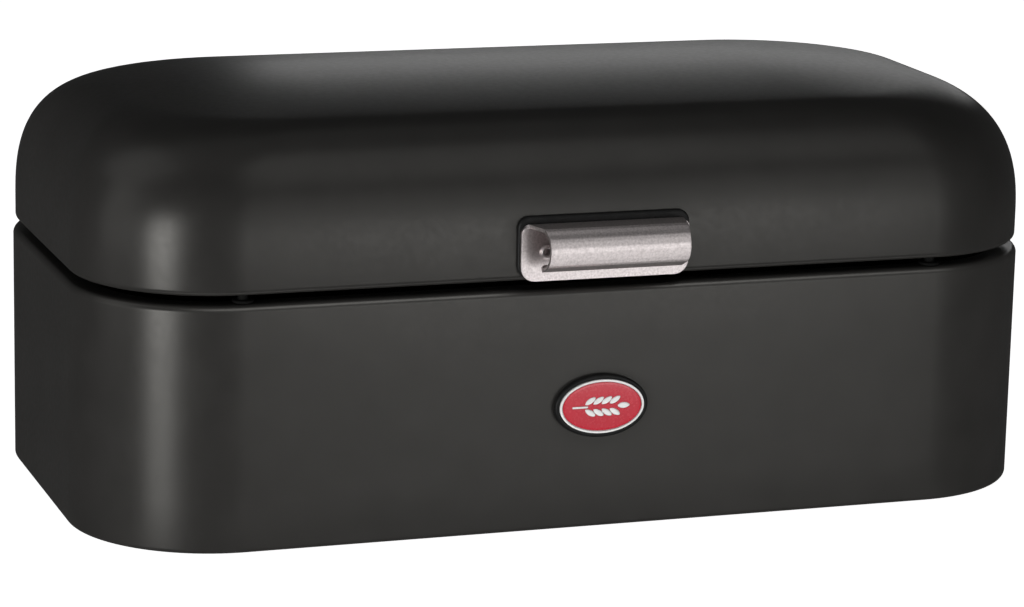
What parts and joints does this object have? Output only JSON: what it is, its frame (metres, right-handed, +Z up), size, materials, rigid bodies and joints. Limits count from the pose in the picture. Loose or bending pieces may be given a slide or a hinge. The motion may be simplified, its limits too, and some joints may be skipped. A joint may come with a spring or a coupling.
{
  "type": "bread bin",
  "caption": "Long, low steel bread bin with rounded corners: a tub with a domed lid that swings back on rear hinges, a hooded pull handle and an oval badge.",
  "frame": {"origin": "middle of the bounding box in plan, on the surface that the feet stand on", "axes": "+X along the length, to the right of someone facing the front; -Y is the front, where the handle is; +Z up"},
  "size_m": [0.42, 0.249, 0.1781],
  "materials": {
    "painted_steel": "matte charcoal powder coat",
    "satin_nickel": "satin nickel plate, slightly warm",
    "bright_steel": "zinc-plated steel",
    "black_plastic": "black moulded plastic",
    "rubber": "black rubber",
    "white_enamel": "white enamelled metal",
    "red_enamel": "gloss red enamel"
  },
  "bodies": {
    "tub": {"base_tub": "painted_steel", "foot_front_left": "rubber", "foot_front_right": "rubber", "foot_rear_left": "rubber", "foot_rear_right": "rubber", "lid_buffer_front_left": "rubber", "lid_buffer_front_right": "rubber", "lid_buffer_rear_left": "rubber", "lid_buffer_rear_right": "rubber", "badge_adhesive_pad": "rubber", "badge_carrier": "black_plastic", "badge_plate": "white_enamel", "badge_enamel": "red_enamel", "hinge_left_tub_leaf": "bright_steel", "hinge_left_tub_rivet_1": "bright_steel", "hinge_left_tub_rivet_2": "bright_steel", "hinge_left_pin": "bright_steel", "hinge_right_tub_leaf": "bright_steel", "hinge_right_tub_rivet_1": "bright_steel", "hinge_right_tub_rivet_2": "bright_steel", "hinge_right_pin": "bright_steel"},
    "lid": {"lid_shell": "painted_steel", "handle_grip": "satin_nickel", "handle_backing": "black_plastic", "handle_rivet_left": "satin_nickel", "handle_rivet_right": "satin_nickel", "handle_washer_left": "bright_steel", "handle_washer_right": "bright_steel", "hinge_left_lid_leaf": "bright_steel", "hinge_left_lid_rivet_1": "bright_steel", "hinge_left_lid_rivet_2": "bright_steel", "hinge_right_lid_leaf": "bright_steel", "hinge_right_lid_rivet_1": "bright_steel", "hinge_right_lid_rivet_2": "bright_steel"}
  },
  "joints": [
    {"name": "lid_hinge", "type": "hinge", "parent": "tub", "child": "lid", "pos_m": [0, 0.11649, 0.1065], "axis": [-1, 0, 0], "range_deg": [0, 100]}
  ]
}
